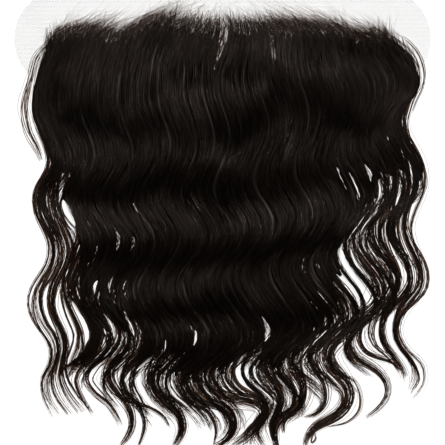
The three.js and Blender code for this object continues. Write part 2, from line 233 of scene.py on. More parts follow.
# The loose locks below the dense hair. wide: half a lock's width at its start, middle and end, in squares
WISPS = by_name(
    ("piece", "hairs", "wide", "path"),
    ("left", 14, (2.5, 2, 1), (
        (92, 98, 98, 92, 86, 84, 88, 91, 85, 71, 56),
        (225, 243, 258, 275, 290, 305, 320, 332, 350, 362, 372),
    )),
    ("left", 20, (3, 2.4, 1), (
        (104, 109, 104, 96, 93, 96, 99, 94, 80, 73, 79, 90),
        (235, 252, 270, 286, 302, 320, 335, 350, 366, 380, 397, 415),
    )),
    ("left", 30, (4, 3.2, 1.4), (
        (118, 122, 117, 110, 108, 113, 117, 109, 91, 86, 95, 108, 120),
        (243, 259, 275, 290, 304, 320, 335, 352, 368, 378, 392, 404, 425),
    )),
    ("left", 34, (4, 4.2, 1.2), (
        (130, 134, 129, 122, 121, 127, 131, 124, 110, 109, 118, 128, 130, 125, 117),
        (248, 264, 280, 294, 307, 322, 336, 352, 366, 378, 394, 410, 425, 437, 447),
    )),
    ("left", 28, (4, 3.2, 1), (
        (142, 145, 139, 133, 134, 140, 138, 126, 121, 127, 136, 142, 139, 135),
        (255, 270, 285, 298, 312, 330, 346, 362, 376, 392, 406, 425, 437, 447),
    )),
    ("left", 20, (4, 3, 0.8), (
        (150, 152, 146, 145, 150, 146, 134, 131, 137, 146),
        (265, 285, 300, 315, 335, 352, 368, 382, 397, 409),
    )),
    ("left", 64, (6, 7, 1.8), (
        (156, 161, 157, 155, 160, 161, 154, 151, 155, 166, 176, 180, 177, 170),
        (270, 288, 304, 318, 334, 350, 364, 378, 392, 404, 414, 427, 437, 448),
    )),
    ("left", 14, (3, 2, 0.8), (
        (122, 119, 108, 103, 107, 118, 133, 149, 161, 168),
        (330, 345, 360, 374, 387, 397, 403, 408, 416, 428),
    )),
    ("left", 18, (4, 2.6, 1), (
        (172, 176, 173, 173, 165, 162, 168, 180, 191),
        (290, 310, 335, 352, 368, 382, 396, 405, 413),
    )),
    ("left", 20, (4, 2.6, 1.5), (
        (182, 184, 182, 175, 174, 180, 190, 203, 211, 214, 211),
        (300, 330, 352, 368, 382, 395, 404, 409, 419, 431, 445),
    )),
    ("left", 32, (5, 4.5, 2.2), (
        (190, 194, 194, 187, 183, 187, 198, 214, 225, 229, 224, 208),
        (300, 325, 345, 362, 377, 391, 401, 406, 414, 427, 438, 447),
    )),
    ("left", 36, (6, 5.5, 1.8), (
        (203, 207, 206, 198, 194, 199, 212, 225, 232, 233, 227, 216),
        (300, 325, 345, 362, 377, 390, 400, 406, 416, 428, 438, 447),
    )),
    ("middle", 46, (6, 6, 3), (
        (215, 219, 218, 210, 206, 212, 226, 244, 256, 262, 259, 254, 262),
        (300, 325, 345, 360, 375, 388, 397, 400, 404, 412, 421, 431, 447),
    )),
    ("middle", 30, (5, 4.5, 3), (
        (226, 231, 231, 226, 221, 226, 239, 252, 262, 263, 254, 243, 228),
        (305, 325, 343, 358, 372, 386, 395, 398, 404, 413, 426, 437, 447),
    )),
    ("middle", 12, (4, 2, 2), (
        (238, 244, 243, 236, 231, 235, 246, 257, 262, 255, 245, 243),
        (305, 325, 342, 356, 370, 383, 392, 399, 409, 421, 431, 447),
    )),
    ("middle", 24, (4, 3.2, 3), (
        (244, 248, 255, 257, 252, 245, 242, 248, 260, 267, 266, 258, 250, 247),
        (280, 300, 318, 330, 345, 358, 371, 383, 392, 402, 411, 420, 432, 447),
    )),
    ("middle", 54, (5, 7, 2), (
        (262, 270, 276, 275, 267, 263, 268, 275, 279, 275, 270, 271, 276),
        (292, 308, 322, 336, 349, 361, 375, 388, 400, 412, 422, 435, 448),
    )),
    ("middle", 54, (5, 7, 2), (
        (280, 289, 293, 287, 279, 280, 289, 294, 294, 288, 278, 272, 274),
        (296, 311, 325, 340, 354, 368, 381, 392, 402, 411, 418, 429, 448),
    )),
    ("right", 36, (5, 6, 1.2), (
        (296, 306, 310, 306, 298, 294, 297, 301, 301, 297, 288, 281, 281),
        (296, 312, 325, 338, 350, 361, 373, 384, 395, 406, 414, 422, 433),
    )),
    ("right", 22, (4, 5, 0.8), (
        (304, 316, 326, 327, 320, 310, 306, 310, 319, 323, 322, 315, 300),
        (284, 297, 310, 322, 334, 344, 355, 367, 380, 392, 403, 412, 417),
    )),
    ("right", 50, (6, 8, 1.6), (
        (324, 329, 340, 347, 347, 339, 328, 323, 327, 338, 345, 344, 337, 326, 313, 305, 302),
        (270, 282, 294, 307, 320, 333, 344, 355, 367, 379, 391, 402, 412, 419, 426, 435, 447),
    )),
    ("right", 6, (2, 1.4, 0.6), (
        (325, 326, 335, 351, 358, 357, 347, 325),
        (345, 360, 372, 379, 394, 410, 421, 427),
    )),
    ("right", 6, (2, 1, 0.5), (
        (342, 345, 334, 319, 310, 309, 313, 312),
        (384, 400, 414, 424, 434, 443, 440, 430),
    )),
    ("right", 20, (6, 5, 3), (
        (349, 351, 360, 370, 376, 372, 361, 349, 336),
        (226, 244, 259, 273, 287, 300, 311, 321, 331),
    )),
    ("right", 32, (5, 3.4, 0.9), (
        (352, 353, 362, 373, 379, 375, 364, 353, 346, 345, 351, 364, 376, 383, 384, 379, 371, 363),
        (234, 249, 263, 277, 290, 302, 312, 322, 333, 346, 357, 365, 373, 383, 393, 403, 411, 417),
    )),
    ("right", 30, (5, 3.6, 1), (
        (366, 367, 376, 387, 392, 388, 377, 365, 358, 357, 363, 377, 389, 398),
        (226, 240, 254, 268, 281, 294, 306, 317, 328, 340, 351, 358, 362, 371),
    )),
    ("right", 9, (4, 1.6, 0.6), (
        (386, 389, 398, 405, 404, 396, 385, 378, 377, 385, 396, 403),
        (234, 247, 261, 276, 290, 302, 312, 322, 335, 348, 357, 369),
    )),
)

# A few thin hairs that stand apart, drawn as the loose locks are
VEILS = by_name(
    ("piece", "hairs", "wide", "path"),
    ("left", 18, (4, 4, 2.5), (
        (224, 220, 217, 213, 209, 205),
        (14, 28, 42, 56, 70, 84),
    )),
    ("left", 12, (2, 4, 2.5), (
        (48, 35, 29, 24, 23, 27, 35, 40),
        (42, 57, 76, 94, 112, 130, 147, 162),
    )),
    ("middle", 8, (3, 3, 2), (
        (266, 267, 270, 273, 275),
        (14, 30, 48, 66, 84),
    )),
    ("right", 6, (2, 2, 1), (
        (392, 408, 418, 422, 420, 414, 409),
        (32, 44, 57, 72, 87, 100, 114),
    )),
)

# Where the hair dips, and where its colour is darkened as painted shade, on the chart. at: the middle of a
# dip;
# half: its half sizes; deep: its depth, as a share of HOLLOW_DEPTH, and how dark its painted shade is
HOLLOW_DEPTH = 1.6 * MM
HOLLOWS_AND_PAINTED_SHADE = by_name(
    ("at", "half", "deep"),
    ((152, 50), (17, 13), 0.8),
    ((150, 95), (13, 10), 1),
    ((152, 124), (15, 12), 0.8),
    ((52, 98), (12, 18), 0.8),
    ((84, 126), (38, 19), 0.8),
    ((188, 76), (30, 20), 0.9),
    ((226, 132), (22, 18), 0.7),
    ((240, 74), (30, 14), 1),
    ((278, 90), (14, 14), 0.9),
    ((315, 98), (11, 16), 0.5),
    ((340, 128), (18, 20), 0.6),
    ((312, 56), (24, 14), 0.8),
    ((354, 49), (28, 14), 1),
    ((388, 51), (26, 15), 1),
    ((222, 210), (18, 20), 0.7),
    ((128, 178), (12, 14), 0.7),
    ((222, 303), (26, 12), 0.8),
    ((135, 67), (9, 15), 0.7),
    ((123, 95), (7, 18), 0.7),
    ((312, 142), (24, 22), 0.8),
    ((75, 146), (30, 16), 0.4),
    ((130, 84), (28, 24), 0.4),
)

# The slits through which the table shows, on the chart. wide: half the width of a slit, in squares
SLITS = by_name(
    ("wide", "path"),
    (3.6, ((62, 65, 68, 71), (199, 209, 219, 228))),
    (1.8, ((44, 42, 43, 47, 52), (284, 296, 308, 320, 331))),
    (2.0, ((57, 59, 63, 68, 70), (298, 310, 322, 334, 343))),
    (2.7, ((70, 76, 81, 84, 80), (300, 310, 322, 333, 343))),
    (0.5, ((68, 65, 63), (262, 270, 280))),
    (1.6, ((94, 92, 94, 99), (268, 278, 288, 300))),
    (1.4, ((110, 106, 108, 115), (266, 276, 288, 303))),
    (1.1, ((119, 113, 113, 117), (266, 278, 290, 300))),
    (1.2, ((128, 122, 122, 126), (266, 278, 290, 303))),
    (0.9, ((97, 102, 104, 99), (316, 326, 336, 346))),
    (1.2, ((103, 109, 112, 107), (311, 322, 332, 344))),
    (1.3, ((122, 129, 131, 127), (311, 322, 333, 345))),
    (0.6, ((134, 138, 137), (316, 328, 340))),
    (0.4, ((113, 118, 117, 111), (220, 232, 243, 254))),
    (0.4, ((131, 134, 134), (200, 208, 216))),
    (0.4, ((131, 133, 129), (230, 240, 252))),
    (2.2, ((101, 92, 90, 94, 102), (358, 367, 377, 388, 397))),
    (2.7, ((135, 126, 124, 128, 136), (357, 367, 378, 390, 400))),
    (1.4, ((144, 136, 136, 142), (362, 372, 384, 396))),
    (1.1, ((167, 162, 161, 167), (366, 373, 382, 394))),
    (0.9, ((186, 190, 201), (378, 391, 402))),
    (0.8, ((199, 206, 217), (382, 393, 402))),
    (1.2, ((175, 169, 170, 177), (369, 378, 388, 398))),
    (0.7, ((189, 194, 194, 190), (322, 332, 342, 350))),
    (1.1, ((239, 234, 236, 245), (362, 370, 380, 390))),
    (2.6, ((254, 247, 244, 247, 257, 265, 268), (351, 358, 368, 378, 388, 396, 406))),
    (0.7, ((262, 266, 267, 262), (312, 321, 331, 342))),
    (1.2, ((294, 296, 292), (380, 391, 403))),
    (0.7, ((306, 301, 303, 312), (346, 355, 366, 376))),
    (0.6, ((318, 313, 316, 325), (346, 355, 366, 376))),
    (0.2, ((309, 303, 301, 307, 319, 329, 333, 330, 322), (250, 260, 272, 284, 294, 305, 317, 330, 338))),
    (0.3, ((319, 316, 317, 322), (250, 262, 274, 284))),
    (0.4, ((304, 313, 319), (296, 304, 314))),
    (0.6, ((324, 323, 320), (312, 322, 332))),
    (0.7, ((336, 338, 344, 353, 362, 365, 362), (246, 258, 270, 282, 294, 306, 318))),
    (1.0, ((337, 340, 345, 350), (166, 178, 190, 200))),
    (1.0, ((345, 351, 355, 356), (168, 180, 192, 202))),
    (0.9, ((363, 368, 370, 370), (164, 176, 190, 202))),
    (0.9, ((376, 377, 377), (176, 188, 200))),
    (1.1, ((385, 391, 396, 398, 397, 395), (132, 146, 160, 174, 188, 200))),
    (0.6, ((392, 399, 403), (138, 150, 162))),
    (1.0, ((404, 409, 409, 406), (152, 166, 180, 196))),
    (1.8, ((385, 382, 384, 391, 399, 403, 402, 396), (214, 227, 240, 254, 265, 277, 290, 300))),
    (0.8, ((396, 394, 398, 407, 414, 416, 411), (214, 227, 240, 253, 266, 279, 292))),
    (1.1, ((382, 388, 390, 388, 383), (254, 266, 278, 291, 302))),
    (1.4, ((378, 374, 374, 380), (316, 328, 339, 350))),
    (3.4, ((391, 386, 386, 392, 402, 411, 414), (312, 324, 337, 349, 361, 372, 385))),
    (0.4, ((268, 270, 272, 275), (26, 38, 50, 64))),
)
SLIT_REACH = 9  # how far from a slit the hair is moved, in squares
SLIT_PAST = 3  # how far past the ends of its path a slit goes, in squares
SLIT_TAPER = 5  # how far before them it begins to close, in squares

HALF_WIDTH = HAIR_WIDTH / 2
HALF_HAIRLINE = HAIRLINE_WIDTH / 2
FIVE_PLACES = np.linspace(-1, 1, 5)


def blend(low, high, share):
    """The value at a share of the way from low to high."""
    return low + (high - low) * share


def smooth(start, stop, value):
    """0 up to start and 1 from stop, with a smooth rise between them."""
    share = np.clip((value - start) / (stop - start), 0, 1)
    return share * share * (3 - 2 * share)


def hairline_drop(across):
    """How far behind its middle the hairline lies."""
    out = np.minimum(np.abs(across), 1)
    return HAIRLINE_BOW * out**2 + HAIRLINE_CORNER * out**CORNER_SHARPNESS


def uneven(across):
    """How far ahead of the even hairline the hair starts."""
    return np.interp(across, [place["across"] for place in UNEVEN], [place["ahead"] for place in UNEVEN])


def swing(across, down):
    """How far to the side a hair stands from the middle of its wave."""
    held = smooth(0, ROOT_HOLD, down - hairline_drop(across) / REACH)
    offset = np.zeros_like(down)
    last_down, last_offset = np.zeros_like(across), np.zeros_like(across)
    for number, turn in enumerate(TURNS):
        next_down = np.interp(across, FIVE_PLACES, turn["down"])
        side = 1 if number % 2 else -1
        next_offset = side * WAVE_SWING * np.interp(across, (-1, 1), turn["swing"])
        share = np.clip((down - last_down) / (next_down - last_down), 0, 1)
        turned = (1 - np.cos(np.pi * share)) / 2
        offset = np.where(down >= last_down, blend(last_offset, next_offset, turned), offset)
        last_down, last_offset = next_down, next_offset
    return held * offset


def on_chart(x, y):
    """The column and the row of a place, in squares of the chart."""
    return x / SQUARE + CHART_MIDDLE, (HAIRLINE_Y - y) / SQUARE + CHART_HAIRLINE


def dip_and_painted_shade(x, y):
    """How deep the hair dips at a place, and how dark the shade painted on it there is, from 0 to 1."""
    across, down = on_chart(x, y)
    depth = np.zeros_like(x)
    for dip in HOLLOWS_AND_PAINTED_SHADE:
        (middle, row), (half, long) = dip["at"], dip["half"]
        away = np.hypot((across - middle) / half, (down - row) / long)
        depth = np.maximum(depth, dip["deep"] * (1 - smooth(0.3, 1.45, away)))
    return depth


CREST_RIPPLES = (2, 1.5)  # how far the lines of the crests waver, in squares
SIDE_THINNING = 0.7  # the share of its height that the bed loses towards its sides


def bed_height(x, y):
    """The height of the whole bed of hair above the table."""
    across, down = on_chart(x, y)
    broad, fine = CREST_RIPPLES
    down = down + broad * np.sin(across / 7 + down / 45) + fine * np.sin(across / 3.7 - down / 30)
    last, last_high = (np.interp(across, CREST_PLACES, CRESTS[0][column]) for column in ("row", "high"))
    high = last_high
    for row in CRESTS[1:]:
        place, next_high = (np.interp(across, CREST_PLACES, row[column]) for column in ("row", "high"))
        turned = (1 - np.cos(np.pi * np.clip((down - last) / (place - last), 0, 1))) / 2
        high = np.where(down >= last, blend(last_high, next_high, turned), high)
        last, last_high = place, next_high
    thinned = 1 - SIDE_THINNING * np.minimum(np.abs(x) / HALF_WIDTH, 1) ** 3
    return np.maximum(high * MM * thinned - HOLLOW_DEPTH * dip_and_painted_shade(x, y), ROOT_THICKNESS)


def charted(path, steps):
    """A smooth curve through the points of a path, evenly divided: steps by 2, in metres."""
    squares = np.array(path, float).T - (CHART_MIDDLE, CHART_HAIRLINE)
    points = squares * (SQUARE, -SQUARE) + (0, HAIRLINE_Y)
    length = np.concatenate(([0], np.cumsum(np.linalg.norm(np.diff(points, axis=0), axis=1))))
    slope = np.gradient(points, length, axis=0)
    at = np.linspace(0, length[-1], steps)
    before = np.clip(np.searchsorted(length, at) - 1, 0, len(length) - 2)
    span = (length[before + 1] - length[before])[:, None]
    share = (at - length[before])[:, None] / span
    turned = share * share * (3 - 2 * share)
    leaving = share * (1 - share) ** 2 * span * slope[before]
    coming = share * share * (1 - share) * span * slope[before + 1]
    return blend(points[before], points[before + 1], turned) + leaving - coming


def opened(path, half=0.0):
    """Moves hairs aside from the slits. half: half of their own width."""
    across, down = on_chart(path[..., 0], path[..., 1])
    for slit in SLITS:
        columns, rows = np.array(slit["path"], float)
        opening = smooth(rows[0] - SLIT_PAST, rows[0] + SLIT_TAPER, down)
        closing = smooth(rows[-1] - SLIT_TAPER, rows[-1] + SLIT_PAST, down)
        inside = opening * (1 - closing)
        off = across - np.interp(down, rows, columns)
        side = np.where(np.sum(off * inside, axis=1, keepdims=True) < 0, -1, 1)
        need = (slit["wide"] + half / SQUARE) * inside
        away = off * side
        past = need + away * (1 - need / SLIT_REACH)
        short = need + away * (1 + need / SLIT_REACH)
        moved = np.where(away > 0, past, short)
        near = (np.abs(away) < SLIT_REACH) & (need < SLIT_REACH)
        across = np.where(near, across + (moved - away) * side, across)
    x = (across - CHART_MIDDLE) * SQUARE
    return np.concatenate((x[..., None], path[..., 1:]), axis=-1)


LACE_GAP = 0.3 * MM  # between the lace and the hair on it
RUN_OFF_START = HAIRLINE_Y - lace_low.y + 12 * MM  # behind the lace, where the hair comes down to the table
RUN_OFF_END = HAIRLINE_Y - lace_low.y + 42 * MM


def table_height(down):
    """What the hair lies on: the lace, and then the table behind it."""
    return (LACE_THICKNESS + LACE_GAP) * (1 - smooth(RUN_OFF_START, RUN_OFF_END, down * REACH))


def parting_edges(parting, row):
    """The left and right edge of a parting at a row, as places across."""
    closed = smooth(0, parting["long"], row)
    middle = blend(parting["start"], parting["at"], closed)
    half = parting["open"] * (1 - closed**3) / HAIR_WIDTH
    return middle - half, middle + half


def section_edges(piece, row):
    """The left and right edge of a section of hair at a row, as places across."""
    first_left, first_right = parting_edges(PARTINGS[0], row)
    second_left, second_right = parting_edges(PARTINGS[1], row)
    return {
        "left": (np.full_like(row, LEFT_EDGE), first_left),
        "middle": (first_right, second_left),
        "right": (second_right, np.full_like(row, RIGHT_EDGE)),
    }[piece]


def parted(piece, across, row):
    """Places across, moved aside by the partings near the hairline."""
    left, right = section_edges(piece, row)
    left_end, right_end = section_edges(piece, np.ones_like(row))
    return blend(left, right, (across - left_end) / (right_end - left_end))


ROOT_SWEEP = 16 * MM
SWEEP_SLOPE = 2.2  # how fast the sweep grows from the middle outwards
SWEEP_START = -0.04
SWEEP_END = 0.045


def sweep(across, row):
    """How far towards the middle the roots stand, from which the hair sweeps outwards."""
    far = blend(1, 0, smooth(0.7, 0.95, np.abs(across)))
    share = 1 - smooth(SWEEP_START, SWEEP_END, row)
    return -np.clip(across * SWEEP_SLOPE, -1, 1) * far * ROOT_SWEEP * share


RIGHT_BULGE = 9 * MM
RIGHT_DENT = 4 * MM
LEFT_BULGE = 4 * MM


def shoulder(across, down):
    """How far to the right the hair at the sides is moved below its corners: both sides bulge outwards, and
    then the right one is dented."""
    out = RIGHT_BULGE * smooth(0.03, 0.11, down) * (1 - smooth(0.12, 0.2, down))
    back = RIGHT_DENT * smooth(0.17, 0.235, down) * (1 - smooth(0.24, 0.33, down))
    left_out = LEFT_BULGE * (1 - smooth(0.06, 0.19, down))
    return (out - back) * smooth(0.75, 1, across) - left_out * smooth(0.82, 0.98, -across)


EARLY_RISE = 1.5  # how far early moves the crests, for each unit that it moves the turns


def laid(across, row, height, aside=0.0, early=0.0, swung=1.0, swept=1.0):
    """Points of hairs in the waves. height is a share of the bed's, and aside is in metres. early moves the
    turns, swung widens them, and swept widens the sweep of the roots."""
    drop = hairline_drop(across) / REACH
    down = drop + (1 - drop) * row
    half = blend(HALF_HAIRLINE, HALF_WIDTH, smooth(0, SPREAD_LENGTH, (down - drop) * REACH))
    x = across * half + shoulder(across, down) + swing(across, down + early) * swung + aside
    x = x + sweep(across, row) * swept
    y = HAIRLINE_Y - down * REACH
    low = table_height(down)
    z = low + (bed_height(x, y - early * EARLY_RISE * REACH) - low) * height
    return np.stack((x, y, z), axis=-1)


class Tubes:
    """Tapered closed tubes that are gathered as arrays, and joined into one mesh. The flow attribute says
    where a point lies across the hair and along it, in metres, and how light the hair is, with any painted
    shade."""

    def __init__(self):
        self.points, self.faces, self.flows, self.count = [], [], [], 0

    def add(self, path, wide, high, tone, sides=3):
        """path: hairs by steps by 3; wide, high and tone: half sizes and lightness, hairs by steps."""
        hairs, steps = path.shape[:2]
        ahead = np.gradient(path, axis=1)
        ahead /= np.linalg.norm(ahead, axis=-1, keepdims=True)
        side = np.cross(ahead, (0, 0, 1))
        side /= np.linalg.norm(side, axis=-1, keepdims=True)
        up = np.cross(side, ahead)
        angles = np.pi / 2 + np.arange(sides) * 2 * np.pi / sides
        ring = (
            path[:, :, None]
            + side[:, :, None] * (np.cos(angles)[:, None] * wide[:, :, None, None])
            + up[:, :, None] * (np.sin(angles)[:, None] * high[:, :, None, None])
        )
        number = self.count + np.arange(hairs * steps * sides).reshape(hairs, steps, sides)
        near, far = number[:, :-1], number[:, 1:]
        turned_near, turned_far = np.roll(near, -1, axis=2), np.roll(far, -1, axis=2)
        self.faces += np.stack((near, far, turned_far, turned_near), axis=-1).reshape(-1, 4).tolist()
        self.faces += number[:, 0].tolist()
        self.faces += number[:, -1, ::-1].tolist()
        self.points.append(ring.reshape(-1, 3))
        step_length = np.linalg.norm(np.diff(path, axis=1, prepend=path[:, :1]), axis=-1)
        flow = np.empty((hairs, steps, sides, 3))
        flow[..., 0] = path[:, :1, None, 0] + np.cos(angles) * wide[:, :, None]
        flow[..., 1] = np.cumsum(step_length, axis=1)[:, :, None]
        flow[..., 2] = tone[:, :, None]
        self.flows.append(flow.reshape(-1, 3))
        self.count += hairs * steps * sides

    def piece(self, name, material, slot):
        """Makes one piece of all the tubes so far."""
        mesh = bpy.data.meshes.new(name)
        mesh.from_pydata(np.concatenate(self.points), [], self.faces)
        mesh.shade_smooth()
        flow = mesh.attributes.new("flow", "FLOAT_VECTOR", "POINT")
        flow.data.foreach_set("vector", np.concatenate(self.flows).astype(np.float32).ravel())
        mesh.materials.append(material)
        made = bpy.data.objects.new(name, mesh)
        bpy.context.scene.collection.objects.link(made)
        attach(made, "root")
        return made


# Materials


class Socket:
    """A shader value that can be written in sums."""

    def __init__(self, nodes, socket):
        self.nodes, self.socket = nodes, socket

    def math(self, kind, *others):
        values = {number: value for number, value in enumerate((self, *others))}
        return self.nodes.add("ShaderNodeMath", values, operation=kind)

    def __add__(self, other):
        return self.math("ADD", other)

    __radd__ = __add__

    def __sub__(self, other):
        return self.math("SUBTRACT", other)

    def __rsub__(self, other):
        return self.nodes.add("ShaderNodeMath", {0: other, 1: self}, operation="SUBTRACT")

    def __mul__(self, other):
        return self.math("MULTIPLY", other)

    __rmul__ = __mul__

    def __mod__(self, other):
        return self.math("FLOORED_MODULO", other)

    def __pow__(self, other):
        return self.math("POWER", other)

    def __abs__(self):
        return self.math("ABSOLUTE")

    def __lt__(self, other):
        return self.math("LESS_THAN", other)


class Finish:
    """A material's nodes. add() makes a node of a kind: values has its sockets' values or links."""

    def __init__(self, name):
        self.material = bpy.data.materials.new(name)
        self.material.use_nodes = True
        self.tree = self.material.node_tree
        self.tree.nodes.clear()

    def add(self, kind, values=None, out=0, **settings):
        node = self.tree.nodes.new(kind)
        for key, value in settings.items():
            setattr(node, key, value)
        for key, value in (values or {}).items():
            if isinstance(value, Socket):
                self.tree.links.new(value.socket, node.inputs[key])
            else:
                node.inputs[key].default_value = value
        return Socket(self, node.outputs[out]) if node.outputs else None

    def split(self, vector):
        """The three numbers of a vector."""
        return [self.add("ShaderNodeSeparateXYZ", {"Vector": vector}, out) for out in range(3)]

    def noise(self, vector, scale, detail=2.0):
        scaled = self.add("ShaderNodeMapping", {"Vector": vector, "Scale": scale})
        return self.add("ShaderNodeTexNoise", {"Vector": scaled, "Scale": 1.0, "Detail": detail})

    def step(self, value, start, stop):
        """0 below start and 1 above stop, smoothly."""
        values = {"Value": value, "From Min": start, "From Max": stop}
        return self.add("ShaderNodeMapRange", values, interpolation_type="SMOOTHSTEP")

    def colour(self, share, first, second):
        """The blend of two colours."""
        values = {"Factor": share, 6: (*first, 1), 7: (*second, 1)}
        return self.add("ShaderNodeMix", values, out=2, data_type="RGBA")

    def surface(self, shader):
        """The finished material."""
        self.add("ShaderNodeOutputMaterial", {"Surface": shader})
        return self.material


SHINE = (1.0, 0.82, 0.72)
THROUGH = (0.87, 0.67, 0.55)  # the colour of the light that comes through one side of a hair
STREAKS = (1100, 55, 0)  # how fine the streaks on the hair are, across it and along it
STREAK_CONTRAST = 2.8


def hair_finish(name, dark, warm, roughness, thin):
    """Hair between a dark and a warm colour. thin: the share of light that comes through one side of it."""
    finish = Finish(name)
    flow = finish.add("ShaderNodeAttribute", out="Vector", attribute_name="flow")
    tone = finish.split(flow)[2]
    streaks = finish.noise(flow, STREAKS, detail=4.0)
    bump = finish.add("ShaderNodeBump", {"Height": streaks, "Strength": 0.8, "Distance": 0.0004})
    lightness = tone + STREAK_CONTRAST * (streaks - 0.5)
    gloss = finish.add("ShaderNodeBsdfPrincipled", {
        "Base Color": finish.colour(finish.step(lightness, 0.0, 1.0), dark, warm),
        "Roughness": roughness + 0.3 * (0.6 - lightness),
        "Normal": bump,
        "Specular IOR Level": 0.5,
        "Specular Tint": (*SHINE, 1),
    })
    # Where the lightness is low, most of all in the painted shade of the dips, the hair turns to a dull dark
    # diffuse: painted shade that takes its gloss away
    dull = finish.add("ShaderNodeBsdfDiffuse", {"Color": (*dark, 1)})
    glossy = finish.step(lightness, -0.7, 0.1)
    shader = finish.add("ShaderNodeMixShader", {0: glossy, 1: dull, 2: gloss})
    glow = finish.add("ShaderNodeBsdfTransparent", {"Color": (*THROUGH, 1)})
    return finish.surface(finish.add("ShaderNodeMixShader", {0: thin, 1: shader, 2: glow}))


LACE_CELL = 1.3 * MM
LACE_THREAD = 0.13  # half a thread's width, as a share of a cell
LACE_KNOT = 0.2  # a knot's radius, as a share of a cell
KNOTTED_AHEAD = 5 * MM  # how far ahead of the hairline the last knots are
LACE_COLOUR = (0.755, 0.755, 0.74)
KNOT_COLOUR = (0.05, 0.035, 0.025)


def lace_finish():
    """Sheer net of six-sided cells, with the hair's dark knots in it up to the hairline."""
    finish = Finish("sheer_net")
    place = finish.add("ShaderNodeTexCoord", out="Object")
    x, y, _ = finish.split(place)
    across, along = x * (1 / LACE_CELL), y * (1 / LACE_CELL)
    root = math.sqrt(3)
    first = (across % 1 - 0.5, along % root - root / 2)
    second = ((across - 0.5) % 1 - 0.5, (along - root / 2) % root - root / 2)
    sizes = [u * u + v * v for u, v in (first, second)]
    nearer = sizes[0] < sizes[1]
    u, v = (abs(second[i] + nearer * (first[i] - second[i])) for i in range(2))
    from_middle = u.math("MAXIMUM", u * 0.5 + v * (root / 2))
    thread = finish.step(from_middle, 0.5 - 2 * LACE_THREAD, 0.5)
    out = x * (1 / HALF_HAIRLINE)
    drop = HAIRLINE_BOW * out**2 + HAIRLINE_CORNER * abs(out) ** CORNER_SHARPNESS
    ahead = y - (HAIRLINE_Y - drop)
    patchy = finish.noise(place, (160, 160, 160))
    knotted = 1 - finish.step(ahead + 0.01 * (patchy - 0.5), 0.0, KNOTTED_AHEAD)
    knot = (from_middle < LACE_KNOT) * knotted
    haze = finish.noise(place, (40, 40, 40))
    return finish.surface(finish.add("ShaderNodeBsdfPrincipled", {
        "Base Color": finish.colour(knot, LACE_COLOUR, KNOT_COLOUR),
        "Roughness": 0.85,
        "Alpha": 0.05 + 0.03 * haze + thread * 0.28 + knot * 0.6,
    }))


DARK_HAIR = (0.002, 0.0015, 0.0013)
WARM_HAIR = (0.026, 0.018, 0.0135)
dense_material = hair_finish("dense_black_hair", DARK_HAIR, WARM_HAIR, 0.3, 0.0)
hair_material = hair_finish("black_hair", DARK_HAIR, WARM_HAIR, 0.3, 0.3)
loose_material = hair_finish("loose_brown_hair", DARK_HAIR, (0.035, 0.022, 0.016), 0.3, 0.4)
fine_material = hair_finish("fine_brown_hair", (0.016, 0.01, 0.0065), (0.12, 0.068, 0.044), 0.45, 0.4)

# Hair
HAIR_STEPS = 42
HAIRS_IN_A_WISP = 14
THIN_HAIR = 0.13 * MM
THICK_HAIR = 0.34 * MM
HAIR_HEIGHT = 0.8  # a hair's height, as a share of its width
FLYAWAYS = 0.03  # the share of hairs that cross the others

# How far aside wisps and hairs go
WISP_WANDER = 1.5 * MM
HAIR_STRAY = 0.9 * MM
FLYAWAY_STRAY = 2.2 * MM
ROOT_STRAY = 2.5 * MM
ROOT_STRAY_END = 0.09  # how far from its root a hair strays as roots do, as a share of REACH
ROOT_SWEPT = (0.3, 1.7)  # the least and the most that hairs follow the sweep of the roots


def each(count, low=0.0, high=1.0):
    """A random number between low and high for each hair."""
    return rng.uniform(low, high, (count, 1))


def around(count, width):
    """A random number around 0 for each hair."""
    return rng.normal(0, width, (count, 1))


def shares_of(count, steps):
    """How far along its hair each step lies, from 0 to 1."""
    return np.linspace(0, 1, steps)[None, :] * np.ones((count, 1))


def root_stray(row, starts):
    """How far aside the hairs go at their roots."""
    return around(len(row), ROOT_STRAY) * (1 - smooth(0, ROOT_STRAY_END, row - starts))


def hair_count(lock, density):
    """How many hairs a lock has. density: how many there are for each unit across."""
    left, right = lock["across"]
    return round((right - left) * density)


def thicknesses(tips, shares):
    """Half the width of each hair, by step: finer at its root and drawn out to its tip."""
    thick = each(len(tips), THIN_HAIR, THICK_HAIR)
    return thick * blend(0.6, 1, smooth(0, 0.06, shares)) * blend(1, 0.45, smooth(0.88, 1, shares))


# how far the painted shade of the dips is blurred along the hair
PAINTED_SHADE_BLUR = 4 * MM
HAIR_TONE = 0.75
# how far the painted shade of the dips lowers a hair's tone
PAINTED_SHADE_TONE = 0.6


